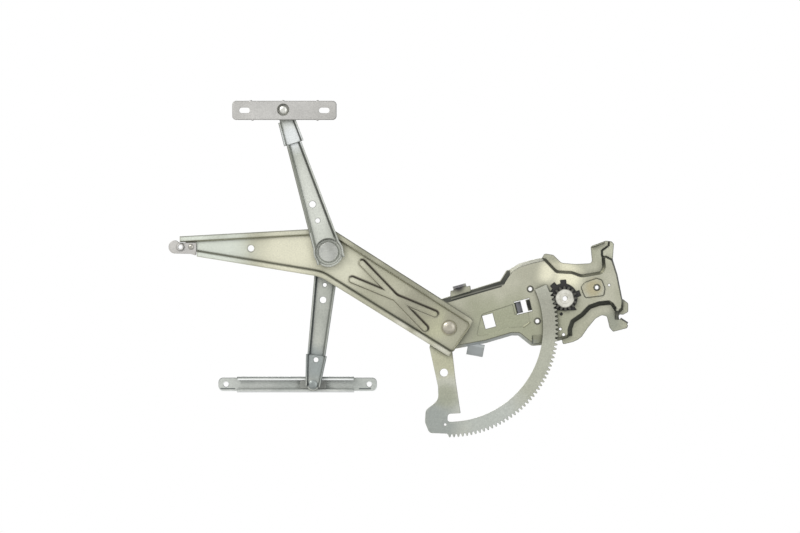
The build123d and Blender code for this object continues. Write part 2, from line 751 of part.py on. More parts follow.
with BuildPart() as main_arm:
    # lip around the front of the walls
    lip_run = main_depth * tan(radians(main_lean)) + main_lip
    lip_plane = facing(main_top - arm_sheet, main_pivot)
    extrude(panel(lip_plane, main_web_corners, main_web_radii, -lip_run), amount=arm_sheet)
    # walls that lean out to the front
    extrude(
        panel(facing(main_back, main_pivot), main_web_corners, main_web_radii),
        amount=main_depth, taper=-main_lean,
    )
    extrude(
        panel(
            facing(main_face, main_pivot), main_web_corners, main_web_radii,
            wall_inset(arm_sheet, main_lean),
        ),
        amount=main_depth, taper=-main_lean, mode=Mode.SUBTRACT,
    )
    # the walls stop short of the pivot's end and of the lift end
    for opening_corners in (main_pivot_opening, shifted(main_lift_opening, lift_place)):
        extrude(
            panel(facing(main_face, main_pivot), opening_corners, 0.0),
            amount=main_depth, mode=Mode.SUBTRACT,
        )
    extrude(
        panel(facing(main_back, main_pivot), shifted(main_lift_cut, lift_place), 0.0),
        amount=main_depth, mode=Mode.SUBTRACT,
    )
    # crossed stiffening beads, pressed out to the front and hollow behind
    bead_lines = list(zip(shifted(bead_middles, bead_place), shifted(bead_ends, bead_place)))
    with BuildSketch(facing(main_face, main_pivot)):
        for bead_middle, bead_end in bead_lines:
            SlotCenterPoint(bead_middle, bead_end, bead_width)
    extrude(amount=bead_height, taper=bead_lean)
    with BuildSketch(facing(main_back, main_pivot)):
        for bead_middle, bead_end in bead_lines:
            SlotCenterPoint(bead_middle, bead_end, bead_width - 2 * bead_wall)
    extrude(amount=bead_height, mode=Mode.SUBTRACT)
    with BuildSketch(facing(main_back, main_pivot)):
        Circle(main_bush_r)
        with Locations(cross_place):
            Circle(cross_bush_r)
        with Locations((lift_place[0] + rivet_offset, lift_place[1])):
            Circle(rivet_r)
        with Locations(*shifted([main_hole_offset], hole_place)):
            Circle(main_hole_r)
    extrude(amount=main_depth, mode=Mode.SUBTRACT)
save(main_arm, "main_arm")

with BuildPart() as lift_tongue:
    extrude(panel(facing(main_face, lift_point), tongue_corners, tongue_radii), amount=arm_sheet)
    with BuildSketch(facing(main_face + arm_sheet, lift_point)):
        Circle(lift_collar_r)
    extrude(amount=lift_collar_height, taper=lift_collar_lean)
    with BuildSketch(facing(main_face, lift_point)):
        Circle(lift_hole_r)
        with Locations((rivet_offset, 0)):
            Circle(rivet_r)
    extrude(amount=main_depth, mode=Mode.SUBTRACT)
save(lift_tongue, "lift_tongue")

with BuildPart() as tongue_rivet:
    rivet_seat = main_face + arm_sheet
    add(turned(rivet_point, [
        (0, main_back), (rivet_r, main_back), (rivet_r, rivet_seat), (rivet_head_r, rivet_seat),
        *crown(rivet_head_r, rivet_seat, rivet_head_height),
    ]))
save(tongue_rivet, "tongue_rivet")

# ---- cross arm ----------------------------------------------------------------------------------

with BuildPart() as upper_cross_arm:
    add(channel(upper_angle, upper_back, upper_top, upper_half_widths, upper_walls))
    # flat tongue under the end fitting
    with BuildSketch(facing(upper_back, cross_pivot, upper_angle)):
        with Locations((upper_walls[1], 0)):
            Rectangle(
                2 * (upper_tongue_end - upper_walls[1]), 2 * upper_tongue_half_width,
            )
    extrude(amount=arm_sheet)
    # drawn cup that seats on the main arm's web
    add(turned(cross_pivot, [
        (0, cup_back), (cross_rim_r - cross_cup_lean, cup_back), (cross_rim_r, upper_face),
        (0, upper_face),
    ]))
    add(
        turned(cross_pivot, [
            (0, cup_face), (cross_cup_r, cup_face),
            (cross_cup_r + cross_cup_lean, upper_face),
            (cross_cup_r + cross_cup_lean, upper_top + overcut), (0, upper_top + overcut),
        ]),
        mode=Mode.SUBTRACT,
    )
    with BuildSketch(facing(cup_back, cross_pivot, upper_angle)):
        Circle(cross_pin_r)
        for hole_x, hole_y, hole_r in upper_holes:
            with Locations((hole_x, hole_y)):
                Circle(hole_r)
    extrude(amount=2 * cross_depth, mode=Mode.SUBTRACT)
save(upper_cross_arm, "upper_cross_arm")

with BuildPart() as upper_arm_end:
    add(channel(upper_angle, upper_face, upper_top, upper_end_half_widths, upper_end_walls))
    # round eye on the bracket's pivot
    with BuildSketch(facing(upper_face, cross_pivot, upper_angle)):
        with Locations((upper_end_walls[1], 0)):
            Rectangle(2 * (upper_reach - upper_end_walls[1]), 2 * upper_end_half_widths[1])
        with Locations((upper_reach, 0)):
            Circle(upper_end_r)
            Circle(bracket_rivet_r, mode=Mode.SUBTRACT)
    extrude(amount=arm_sheet)
save(upper_arm_end, "upper_arm_end")

with BuildPart() as lower_cross_arm:
    add(channel(lower_angle, lower_back, lower_top, lower_half_widths, lower_walls))
    # flat ends: the eye on the cross pivot and the tongue under the end fitting
    with BuildSketch(facing(lower_back, cross_pivot, lower_angle)):
        Circle(lower_eye_r)
        Rectangle(lower_walls[0] + overcut, 2 * lower_half_widths[0], align=(Align.MIN, Align.CENTER))
        with Locations((lower_walls[1], 0)):
            Rectangle(2 * (lower_tongue_end - lower_walls[1]), 2 * lower_half_widths[1])
        Circle(cross_tail_r, mode=Mode.SUBTRACT)
        for hole_x, hole_y, hole_r in lower_holes:
            with Locations((hole_x, hole_y)):
                Circle(hole_r, mode=Mode.SUBTRACT)
    extrude(amount=arm_sheet)
    with BuildSketch(facing(lower_back, cross_pivot, lower_angle)):
        for hole_x, hole_y, hole_r in lower_holes:
            with Locations((hole_x, hole_y)):
                Circle(hole_r)
    extrude(amount=lower_depth, mode=Mode.SUBTRACT)
save(lower_cross_arm, "lower_cross_arm")

with BuildPart() as lower_arm_end:
    add(channel(lower_angle, lower_face, lower_top, lower_end_half_widths, lower_end_walls))
    with BuildSketch(facing(lower_face, cross_pivot, lower_angle)):
        with Locations((lower_reach, 0)):
            Circle(lower_end_r)
    extrude(amount=arm_sheet)
    with BuildSketch(facing(lower_face, cross_pivot, lower_angle)):
        with Locations((lower_reach, 0)):
            Circle(shoe_pin_r)
        with Locations(lower_holes[-1][:2]):
            Circle(lower_holes[-1][2])
    extrude(amount=lower_depth, mode=Mode.SUBTRACT)
save(lower_arm_end, "lower_arm_end")

# ---- cross pivot --------------------------------------------------------------------------------

with BuildPart() as cross_hub:
    disc_top = cup_face + cross_disc_height
    tail_back = lower_back - cross_tail_height
    add(turned(cross_pivot, [
        (0, tail_back), (cross_tail_head_r, tail_back), (cross_tail_head_r, lower_back),
        (cross_tail_r, lower_back), (cross_tail_r, lower_face), (cross_pin_r, lower_face),
        (cross_pin_r, cup_face), (cross_disc_r, cup_face),
        (cross_disc_r, disc_top - cross_disc_chamfer),
        (cross_disc_r - cross_disc_chamfer, disc_top), (0, disc_top),
    ]))
save(cross_hub, "cross_hub")

with BuildPart() as cross_spacer:
    add(turned(cross_pivot, ring(cross_pin_r, cross_spacer_r, lower_face, spacer_top)))
save(cross_spacer, "cross_spacer")

with BuildPart() as cross_bush:
    add(turned(cross_pivot, [
        (cross_pin_r + running_gap, cross_bush_back), (cross_bush_flange_r, cross_bush_back),
        (cross_bush_flange_r, main_back), (cross_bush_r, main_back), (cross_bush_r, main_face),
        (cross_pin_r + running_gap, main_face),
    ]))
save(cross_bush, "cross_bush")

# ---- glass bracket ------------------------------------------------------------------------------

with BuildPart() as glass_bracket:
    with BuildSketch(facing(bracket_back, bracket_pivot)):
        with Locations(bracket_shift):
            RectangleRounded(bracket_length, bracket_width, bracket_corner_r)
            for nub_x, nub_side in bracket_nubs:
                nub_height = nub_side * (bracket_width / 2 - nub_sink)
                with Locations((nub_x - bracket_shift[0], nub_height)):
                    Circle(nub_r)
    extrude(amount=bracket_sheet)
    # the edges roll back around the whole outline
    front_edges = glass_bracket.faces().sort_by(Axis.Y)[0].outer_wire().edges()
    chamfer(front_edges, bracket_edge_bend)
    # dish that brings the sheet back to the arm
    dish_run = (bracket_face - dish_floor_face) * tan(radians(dish_lean))
    add(turned(bracket_pivot, [
        (0, dish_floor_back), (dish_floor_r + arm_sheet, dish_floor_back),
        (dish_floor_r + dish_run + arm_sheet, bracket_face - bracket_edge_bend),
        (0, bracket_face - bracket_edge_bend),
    ]))
    add(
        turned(bracket_pivot, [
            (0, dish_floor_face), (dish_floor_r, dish_floor_face),
            (dish_floor_r + dish_run, bracket_face), (0, bracket_face),
        ]),
        mode=Mode.SUBTRACT,
    )
    with BuildSketch(facing(dish_floor_back, bracket_pivot)):
        Circle(bracket_pin_r + running_gap)
        with Locations(bracket_shift):
            with GridLocations(glass_slot_spacing, 0, 2, 1):
                SlotOverall(glass_slot_length, glass_slot_width)
    extrude(amount=bracket_face - dish_floor_back, mode=Mode.SUBTRACT)
save(glass_bracket, "glass_bracket")

with BuildPart() as bracket_pin:
    pin_tail = upper_face - bracket_tail_height
    add(turned(bracket_pivot, [
        (0, pin_tail), (bracket_tail_r, pin_tail), (bracket_tail_r, upper_face),
        (bracket_rivet_r, upper_face), (bracket_rivet_r, upper_end_face),
        (bracket_pin_r, upper_end_face), (bracket_pin_r, bracket_head_back),
        (bracket_head_r, bracket_head_back),
        *crown(bracket_head_r, bracket_head_back, bracket_head_height),
    ]))
save(bracket_pin, "bracket_pin")

# ---- guide rail and shoe ------------------------------------------------------------------------

with BuildPart() as guide_rail:
    # folded channel, open to the front between its lips
    channel_length = rail_channel[1] - rail_channel[0]
    channel_middle = (rail_channel[0] + rail_channel[1]) / 2
    with BuildSketch(facing(rail_back, shoe_pivot)):
        with Locations((channel_middle, 0)):
            Rectangle(channel_length, rail_height)
    extrude(amount=rail_depth)
    fillet(guide_rail.edges().filter_by(Axis.X), rail_bend_r)
    with BuildSketch(facing(rail_face, shoe_pivot)):
        with Locations((channel_middle, 0)):
            Rectangle(channel_length, rail_height - 2 * rail_sheet)
    extrude(amount=rail_depth - 2 * rail_sheet, mode=Mode.SUBTRACT)
    with BuildSketch(facing(rail_face, shoe_pivot)):
        with Locations((channel_middle, 0)):
            Rectangle(channel_length, rail_slot)
    extrude(amount=rail_depth, mode=Mode.SUBTRACT)
    # flat pads with the fixing holes
    with BuildSketch(facing(rail_back, shoe_pivot)):
        with Locations(((rail_ends[0] + rail_ends[1]) / 2, 0)):
            RectangleRounded(rail_ends[1] - rail_ends[0], rail_pad_height, rail_pad_corner_r)
        for hole_x in (rail_ends[0] + rail_hole_margin, rail_ends[1] - rail_hole_margin):
            with Locations((hole_x, 0)):
                Circle(rail_hole_r, mode=Mode.SUBTRACT)
    extrude(amount=rail_sheet)
save(guide_rail, "guide_rail")

with BuildPart() as rail_shoe:
    # boss under the arm, neck through the slot and body inside the channel
    with BuildSketch(facing(shoe_step, shoe_pivot)):
        Circle(shoe_boss_r)
    extrude(amount=shoe_boss_height)
    with BuildSketch(facing(rail_top - rail_sheet - shoe_play, shoe_pivot)):
        RectangleRounded(shoe_length, rail_slot - 2 * shoe_play, shoe_corner_r)
    extrude(amount=shoe_step - rail_top + rail_sheet + shoe_play)
    with BuildSketch(facing(shoe_back, shoe_pivot)):
        RectangleRounded(shoe_length, rail_height - 2 * rail_sheet - 2 * shoe_play, shoe_corner_r)
    extrude(amount=rail_top - rail_sheet - shoe_play - shoe_back)
    with BuildSketch(facing(shoe_back, shoe_pivot)):
        Circle(shoe_pin_r + running_gap)
    extrude(amount=shoe_top - shoe_back, mode=Mode.SUBTRACT)
    with BuildSketch(facing(shoe_back, shoe_pivot)):
        Circle(shoe_tail_r + seat_gap)
    extrude(amount=shoe_tail_top + seat_gap - shoe_back, mode=Mode.SUBTRACT)
save(rail_shoe, "rail_shoe")

with BuildPart() as shoe_pin:
    add(turned(shoe_pivot, [
        (0, shoe_tail_top - shoe_tail_height), (shoe_tail_r, shoe_tail_top - shoe_tail_height),
        (shoe_tail_r, shoe_tail_top), (shoe_pin_r, shoe_tail_top), (shoe_pin_r, lower_end_face),
        (shoe_head_r, lower_end_face), *crown(shoe_head_r, lower_end_face, shoe_head_height),
    ]))
save(shoe_pin, "shoe_pin")
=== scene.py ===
import math

import bpy
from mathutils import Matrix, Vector


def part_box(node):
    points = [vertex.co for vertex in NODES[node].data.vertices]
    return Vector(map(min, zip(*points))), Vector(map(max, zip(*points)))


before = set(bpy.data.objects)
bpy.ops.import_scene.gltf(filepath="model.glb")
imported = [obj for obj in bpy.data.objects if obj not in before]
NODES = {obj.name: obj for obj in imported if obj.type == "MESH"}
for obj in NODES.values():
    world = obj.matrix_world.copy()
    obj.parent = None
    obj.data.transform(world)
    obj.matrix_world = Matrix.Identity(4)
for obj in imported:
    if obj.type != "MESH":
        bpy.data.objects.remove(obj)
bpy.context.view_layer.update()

# Window regulator: the CAD pieces keep their meshes and get worn zinc, steel, bronze and plastic,
# on a pale floor in soft light. Lengths are in metres, in the frame of the CAD model: the front
# faces -Y and +Z is up. A place on the regulator is given as (x, z).

# ---------------------------------------------------------------- view, floor and light

VIEW_WIDTH = 1.008                     # width of the view at the object
VIEW_CENTRE = Vector((-0.2078, -0.004, 0.0404))
VIEW_END = 100.0                       # how far the camera sees
LENS = 150.0                           # in millimetres, as the sensor
SENSOR = 36.0

FLOOR_LEVEL = -0.43                    # below the lowest reach of the arms
FLOOR_SOLID = 0.55                     # radius out to which the floor is solid
FLOOR_GONE = 1.176                     # radius where it has faded out
FLOOR_END = 1.20                       # radius of its edge
FLOOR_CORNERS = 96
FLOOR_COLOUR = (0.86, 0.86, 0.86, 1.0)

AMBIENT = 0.30                         # the world's light on diffuse surfaces
LAMP_AIM = Vector((-0.21, 0.0, 0.04))
LAMPS = [                              # name, place, diameter, watts, colour
    ("key", (-2.0, -2.2, 1.9), 1.6, 60.0, (1.0, 0.985, 0.955)),
    ("fill", (1.6, -2.8, 0.3), 2.0, 10.0, (0.97, 0.985, 1.0)),
    ("back", (-0.6, 2.4, 1.6), 1.8, 40.0, (1.0, 1.0, 1.0)),
]


# ---------------------------------------------------------------- node helpers

def srgb(red, green, blue):
    """A colour given as 0-255 screen values, as linear RGBA."""
    def linear(value):
        value /= 255.0
        return value / 12.92 if value <= 0.04045 else ((value + 0.055) / 1.055) ** 2.4
    return (linear(red), linear(green), linear(blue), 1.0)


def scaled(colour, share, lift=0.0):
    """A colour with its channels at that share, plus lift."""
    return tuple(min(1.0, share * channel + lift) for channel in colour[:3]) + (1.0,)


def plug(tree, socket, value):
    if isinstance(value, bpy.types.NodeSocket):
        tree.links.new(value, socket)
    else:
        socket.default_value = value


def add(tree, kind, inputs=None, **settings):
    """A node of that kind, with its settings and its inputs set or linked."""
    made = tree.nodes.new(kind)
    for key, value in settings.items():
        setattr(made, key, value)
    for key, value in (inputs or {}).items():
        plug(tree, made.inputs[key], value)
    return made


def math_node(tree, operation, *values, clamp=False):
    made = add(tree, "ShaderNodeMath", operation=operation, use_clamp=clamp)
    for index, value in enumerate(values):
        plug(tree, made.inputs[index], value)
    return made.outputs[0]


def times(tree, first, second, clamp=False):
    return math_node(tree, "MULTIPLY", first, second, clamp=clamp)


def vector_node(tree, operation, *values, output="Vector"):
    made = add(tree, "ShaderNodeVectorMath", operation=operation)
    for index, value in enumerate(values):
        plug(tree, made.inputs[index], value)
    return made.outputs[output]


def remap(tree, value, span, result=(0.0, 1.0), smooth=False):
    """value from span to result, held at the ends."""
    made = add(tree, "ShaderNodeMapRange", {
        "Value": value, "From Min": span[0], "From Max": span[1],
        "To Min": result[0], "To Max": result[1]},
        interpolation_type="SMOOTHSTEP" if smooth else "LINEAR")
    return made.outputs["Result"]


def mix(tree, factor, first, second, blend="MIX"):
    made = add(tree, "ShaderNodeMix", data_type="RGBA", blend_type=blend)
    plug(tree, made.inputs["Factor"], factor)
    plug(tree, made.inputs["A"], first)
    plug(tree, made.inputs["B"], second)
    return made.outputs["Result"]


def object_place(tree):
    """The place on the piece, which moves with it."""
    return add(tree, "ShaderNodeTexCoord").outputs["Object"]


NOISE_ROUGH = 0.55


def noise(tree, place, scale, detail=2.0):
    """Noise with features about 1/scale metres wide."""
    return add(tree, "ShaderNodeTexNoise", {
        "Vector": place, "Scale": scale, "Detail": detail,
        "Roughness": NOISE_ROUGH}).outputs["Fac"]


def bevelled(tree, radius, samples=4):
    """The normal, rounded over edges with that radius."""
    return add(tree, "ShaderNodeBevel", {"Radius": radius}, samples=samples).outputs["Normal"]


def flatness_here(tree, round_normal):
    """1 on a flat face, and less where round_normal turns over an edge."""
    own_normal = add(tree, "ShaderNodeNewGeometry").outputs["Normal"]
    return vector_node(tree, "DOT_PRODUCT", round_normal, own_normal, output="Value")


OPEN_SAMPLES = 6


def corner_here(tree, reach, span):
    """1 in a corner and 0 where a face lies open, by how much of the sky it sees."""
    open_sky = add(tree, "ShaderNodeAmbientOcclusion", {"Distance": reach},
                   samples=OPEN_SAMPLES).outputs["AO"]
    return remap(tree, open_sky, span, (1.0, 0.0))


def radius_from(tree, place, centre):
    """Distance from a line along Y through centre."""
    offset = vector_node(tree, "SUBTRACT", place, (centre[0], 0.0, centre[1]))
    flat = vector_node(tree, "MULTIPLY", offset, (1.0, 0.0, 1.0))
    return vector_node(tree, "LENGTH", flat, output="Value")


def slot_distance(tree, place, middle, end):
    """Distance from a segment around middle out to end, and the side of it."""
    length = math.hypot(end[0] - middle[0], end[1] - middle[1])
    along = ((end[0] - middle[0]) / length, (end[1] - middle[1]) / length)
    offset = vector_node(tree, "SUBTRACT", place, (middle[0], 0.0, middle[1]))
    share, side = [
        vector_node(tree, "DOT_PRODUCT", offset, (way_x, 0.0, way_z), output="Value")
        for way_x, way_z in (along, (-along[1], along[0]))]
    beyond = math_node(tree, "SUBTRACT", math_node(tree, "ABSOLUTE", share), length)
    beyond = math_node(tree, "MAXIMUM", beyond, 0.0)
    squared = math_node(tree, "MULTIPLY_ADD", side, side, times(tree, beyond, beyond))
    return math_node(tree, "SQRT", squared), side


def new_material(name):
    made = bpy.data.materials.new(name)
    made.use_nodes = True
    made.node_tree.nodes.clear()
    return made, made.node_tree


def surface(tree, colour, metallic, gloss, height, relief, normal):
    """The shader of a solid surface; relief is the strength and the depth of its bump."""
    bumped = add(tree, "ShaderNodeBump", {
        "Strength": relief[0], "Distance": relief[1], "Height": height, "Normal": normal})
    shader = add(tree, "ShaderNodeBsdfPrincipled", {
        "Base Color": colour, "Metallic": metallic, "Roughness": gloss,
        "Normal": bumped.outputs["Normal"]})
    add(tree, "ShaderNodeOutputMaterial", {"Surface": shader.outputs["BSDF"]})


# ---------------------------------------------------------------- plated sheet

# A spread is the pair of noise values between which one look turns into another.
CLOUD_DETAIL = 4.0
CLOUD_SPREAD = (0.36, 0.64)            # from the base colour to the tint
PATCH_SCALE = 0.35                     # of the clouds' scale
PATCH_SPREAD = (0.42, 0.64)
PATCH_DARKNESS = 0.75
SPANGLE_SCALE = 650.0
SPANGLE_SPREAD = (0.30, 0.70)
SPANGLE_CONTRAST = (0.90, 1.10)
SCRATCH_SETS = [                       # squeeze along the axes, turn about Y, spread
    ((55.0, 55.0, 1700.0), math.radians(24.0), (0.66, 0.72)),
    ((1500.0, 60.0, 45.0), math.radians(31.0), (0.67, 0.73)),
]
SCRATCH_SHINE = 0.45
RUBBED_SHARE = 1.20                    # the tint where it is rubbed bright
RUBBED_LIFT = 0.05

EDGE_R = 0.0006
EDGE_BENDS = (0.99, 0.86)              # from a flat face to a worn edge
EDGE_SPREAD = (0.35, 0.60)
EDGE_LEAST = 0.35
EDGE_SHINE = 0.35
CORNER_REACH = 0.009
CORNER_SKY = (0.35, 0.92)
CORNER_SHADE_SHARE = 0.6                      # of the painted shade colour, painted into corners as shade

# Flatness is 1 on a face square to the view from the front, and 0 on one along it.
BEND_SAMPLES = 8
STEEP_FLATNESS = (0.08, 0.30)          # walls along the view take less painted shade
STEEP_LEAST = 0.35
WIDEST_FLATNESS = ((0.52, 0.58), (0.84, 0.95))     # where the widest walls start and end
PAINTED_SHADE_SPREAD = (0.30, 0.60)
PAINTED_SHADE_LEAST = 0.86

FACE_FLATNESS = (0.80, 0.92)
WALLS_FLATNESS = (0.92, 0.97)
BEHIND_DEPTH = (0.0013, 0.0018)        # at the back of the plate's sheet
LIP_FADE = 0.0006
FRONT_SLOPE = (-0.45, -0.25)           # the normal's Y where a face turns from the front
SPOT_SPREAD = (0.3, 0.7)
SPOT_WAVER = (0.8, 1.2)               # share by which clouds move the rim of a stain or painted spot
SPOT_CORE = 0.3                       # share of its reach where a stain or painted spot is at full strength

# The painted lines along a bead's edges, painted shade on the upper edge and painted light on
# the lower: where they start and end, by the distance from its middle line, and which side
# counts as the upper or the lower edge.
BEAD_LINE_IN = (0.0025, 0.0036)
BEAD_LINE_OUT = (0.0049, 0.0067)
BEAD_UPPER_SIDE = (-0.0005, 0.0025)
BEAD_LOWER_SIDE = (0.0005, -0.0020)
BEAD_LOWER_MOST = 0.75
BEAD_SPREAD = (0.30, 0.60)
BEAD_UPPER_RANGE = (0.74, 0.95)
PAINTED_LINE_FADE = 0.0004

ZINC_METALLIC = 0.62
ZINC_GLOSS_SPREAD = (0.30, 0.70)
ZINC_GLOSS_LESS = 0.06
ZINC_GLOSS_MORE = 0.08
ZINC_RELIEF = (0.55, 0.0004)
SKIN_SCALE = 140.0
SPANGLE_HEIGHT = 0.10
SCRATCH_DEPTH = 0.10
CORNER_ROUGH = 0.20
EDGE_SMOOTH = 0.12
SCRATCH_ROUGH = 0.10

# Painted shade: dark colours that stand for the dark reflections on drawn walls and bends.
PAINTED_SHADE = srgb(46, 49, 45)
BLUE_PAINTED_SHADE = srgb(50, 58, 64)
RAIL_PAINTED_SHADE = srgb(52, 58, 62)
BRONZE_PAINTED_SHADE = srgb(84, 80, 68)
GLINT = srgb(244, 247, 248)            # painted reflection of a pale floor, on walls that face down
GLINT_RISE = 7.0                       # how fast it grows as a wall turns down


def scratches(tree, place):
    """1 along fine scratches in two directions."""
    found = []
    for squeeze, turn, spread in SCRATCH_SETS:
        stretched = add(tree, "ShaderNodeMapping", {
            "Vector": place, "Scale": squeeze,
            "Rotation": (0.0, turn, 0.0)}).outputs["Vector"]
        found.append(remap(tree, noise(tree, stretched, 1.0), spread))
    return math_node(tree, "MAXIMUM", *found)


def painted_shade_on(tree, way, flatness, drawn, cloud, wall, lean, wide):
    """How much painted shade lies on drawn walls, with lean as its level and its growth along X
    and Z; it stands for dark reflections and is darker on the side that lean favours.
    """
    facing = math_node(tree, "MULTIPLY_ADD", way["X"], lean[1], lean[0])
    facing = math_node(tree, "MULTIPLY_ADD", way["Z"], lean[2], facing, clamp=True)
    mask = times(tree, drawn, times(tree, facing, wall))
    if wide:
        start, end = WIDEST_FLATNESS
        widest = times(tree, remap(tree, flatness, start), remap(tree, flatness, end, (1.0, 0.0)))
        mask = math_node(tree, "MAXIMUM", mask, times(tree, widest, wide))
    return times(tree, mask, remap(tree, cloud, PAINTED_SHADE_SPREAD, (PAINTED_SHADE_LEAST, 1.0)), clamp=True)


def with_stains_and_painted_light(tree, place, colour, cloud, stains_and_painted_light, part, mask):
    """The colour with the stains, painted highlights and painted shade that lie on that part."""
    for spot_x, spot_z, reach, tone, strength, lies_on in stains_and_painted_light:
        if lies_on == part:
            distance = times(tree, radius_from(tree, place, (spot_x, spot_z)),
                             remap(tree, cloud, SPOT_SPREAD, SPOT_WAVER))
            amount = remap(tree, distance, (SPOT_CORE * reach, reach), (strength, 0.0),
                           smooth=True)
            colour = mix(tree, times(tree, amount, mask), colour, tone)
    return colour


def painted_bead_lines(tree, place, colour, cloud, beads, dark, pale):
    """The colour with a painted shade line on the upper edges of crossed beads and a painted
    light line below.
    """
    spans = [slot_distance(tree, place, middle, end) for middle, end in beads]
    for index, (distance, side) in enumerate(spans):
        line = times(tree, remap(tree, distance, BEAD_LINE_IN),
                     remap(tree, distance, BEAD_LINE_OUT, (1.0, 0.0)))
        for other, _ in spans[:index] + spans[index + 1:]:
            line = times(tree, line, remap(tree, other, BEAD_LINE_IN))
        lower = times(tree, line, remap(tree, side, BEAD_LOWER_SIDE, (0.0, BEAD_LOWER_MOST)))
        colour = mix(tree, lower, colour, pale)
        upper = times(tree, line, remap(tree, side, BEAD_UPPER_SIDE))
        upper = times(tree, upper, remap(tree, cloud, BEAD_SPREAD, BEAD_UPPER_RANGE))
        colour = mix(tree, upper, colour, dark)
    return colour


def with_painted_lines(tree, place, colour, front, painted_lines):
    """The colour with painted lines of light and shade along bends, on faces turned to the front.
    """
    for middle, end, half_width, tone, strength in painted_lines:
        distance = slot_distance(tree, place, middle, end)[0]
        line = remap(tree, distance, (half_width, half_width + PAINTED_LINE_FADE), (strength, 0.0))
        colour = mix(tree, times(tree, line, front), colour, tone)
    return colour


def plated(name, base, tint, dark, painted_shade=PAINTED_SHADE, rough=0.40, cloud_size=0.030, peel=0.35,
           scratch=0.5, wall=0.9, lean=(0.50, 1.1, 0.35), bend=0.0016, bend_range=(0.84, 0.98),
           corner_shade=0.7, wide=0.0, stains_and_painted_light=(), lip_height=0.0, beads=(), bead_shade=None,
           bead_light=None, glint=0.0, painted_lines=()):
    """Zinc plated and passivated steel.

    base and tint alternate in soft clouds over darker patches. Painted shade, which stands for
    dark reflections, lies on drawn walls and along bends, most where they face the way that lean
    says, and on the widest walls by wide; corners get painted shade as well. Drawn walls that
    face down are painted pale by glint, as a reflection of the floor. Stains and painted spots
    of light and shade are (x, z, reach, colour, strength, part), where part is the face, the
    walls, what lies behind the sheet or the lip that stands above lip_height. Beads are
    (middle, end), with painted shade along their upper edges and painted light along the lower
    ones, and painted lines of light and shade along a bend are (middle, end, half width,
    colour, strength). Edges are worn bright, and fine scratches and a pressed skin break the
    gloss."""
    made, tree = new_material(name)
    place = object_place(tree)
    cloud = noise(tree, place, 1 / cloud_size, CLOUD_DETAIL)
    spangle = noise(tree, place, SPANGLE_SCALE)
    patch = noise(tree, place, PATCH_SCALE / cloud_size)
    lines = scratches(tree, place)

    round_normal = bevelled(tree, EDGE_R)
    edge = times(tree, remap(tree, flatness_here(tree, round_normal), EDGE_BENDS),
                 remap(tree, spangle, EDGE_SPREAD, (EDGE_LEAST, 1.0)))
    corner = corner_here(tree, CORNER_REACH, CORNER_SKY)

    own_normal = add(tree, "ShaderNodeVectorTransform", {
        "Vector": bevelled(tree, bend, BEND_SAMPLES)},
        vector_type="NORMAL", convert_from="WORLD", convert_to="OBJECT").outputs["Vector"]
    way = add(tree, "ShaderNodeSeparateXYZ", {"Vector": own_normal}).outputs
    flatness = math_node(tree, "ABSOLUTE", way["Y"])
    drawn = times(tree, remap(tree, flatness, bend_range, (1.0, 0.0)),
                  remap(tree, flatness, STEEP_FLATNESS, (STEEP_LEAST, 1.0)))
    painted_shade_mask = painted_shade_on(tree, way, flatness, drawn, cloud, wall, lean, wide)

    depth = add(tree, "ShaderNodeSeparateXYZ", {"Vector": place}).outputs["Y"]
    part_masks = {
        "face": remap(tree, flatness, FACE_FLATNESS),
        "lip": remap(tree, depth, (-lip_height, LIP_FADE - lip_height), (1.0, 0.0)),
        "walls": remap(tree, flatness, WALLS_FLATNESS, (1.0, 0.0)),
        "behind": remap(tree, depth, BEHIND_DEPTH)}
    rubbed = scaled(tint, RUBBED_SHARE, RUBBED_LIFT)

    colour = mix(tree, remap(tree, cloud, CLOUD_SPREAD), base, tint)
    colour = mix(tree, remap(tree, patch, PATCH_SPREAD, (0.0, PATCH_DARKNESS)), colour, dark)
    # stains, painted highlights and painted shade on the face and the lip
    for part in ("face", "lip"):
        colour = with_stains_and_painted_light(tree, place, colour, cloud, stains_and_painted_light, part, part_masks[part])
    shade = remap(tree, spangle, SPANGLE_SPREAD, SPANGLE_CONTRAST)
    grain = add(tree, "ShaderNodeCombineColor", {
        "Red": shade, "Green": shade, "Blue": shade}).outputs["Color"]
    colour = mix(tree, 1.0, colour, grain, blend="MULTIPLY")
    colour = mix(tree, times(tree, lines, scratch * SCRATCH_SHINE), colour, rubbed)
    colour = mix(tree, times(tree, edge, EDGE_SHINE), colour, rubbed)
    # painted shade on drawn walls and bends, for their dark reflections
    colour = mix(tree, painted_shade_mask, colour, painted_shade)
    # painted shade in corners, by how little of the sky they see
    colour = mix(tree, times(tree, corner, corner_shade), colour, scaled(painted_shade, CORNER_SHADE_SHARE))
    # stains and painted shade on the walls and behind the sheet
    for part in ("walls", "behind"):
        colour = with_stains_and_painted_light(tree, place, colour, cloud, stains_and_painted_light, part, part_masks[part])
    # painted reflection: drawn walls that face down are paled as if they mirrored the floor
    if glint:
        facing_down = times(tree, way["Z"], -GLINT_RISE, clamp=True)
        painted_floor_glint = times(tree, drawn, facing_down)
        colour = mix(tree, times(tree, painted_floor_glint, glint), colour, GLINT)
    # painted shade and painted light along the beads' edges
    colour = painted_bead_lines(tree, place, colour, cloud, beads, bead_shade, bead_light)
    # painted lines of light and shade along bends
    front = remap(tree, way["Y"], FRONT_SLOPE, (1.0, 0.0))
    colour = with_painted_lines(tree, place, colour, front, painted_lines)

    gloss = remap(tree, cloud, ZINC_GLOSS_SPREAD, (rough - ZINC_GLOSS_LESS,
                                                   rough + ZINC_GLOSS_MORE))
    gloss = math_node(tree, "MULTIPLY_ADD", corner, CORNER_ROUGH, gloss)
    gloss = math_node(tree, "MULTIPLY_ADD", edge, -EDGE_SMOOTH, gloss)
    gloss = math_node(tree, "MULTIPLY_ADD", lines, SCRATCH_ROUGH, gloss, clamp=True)

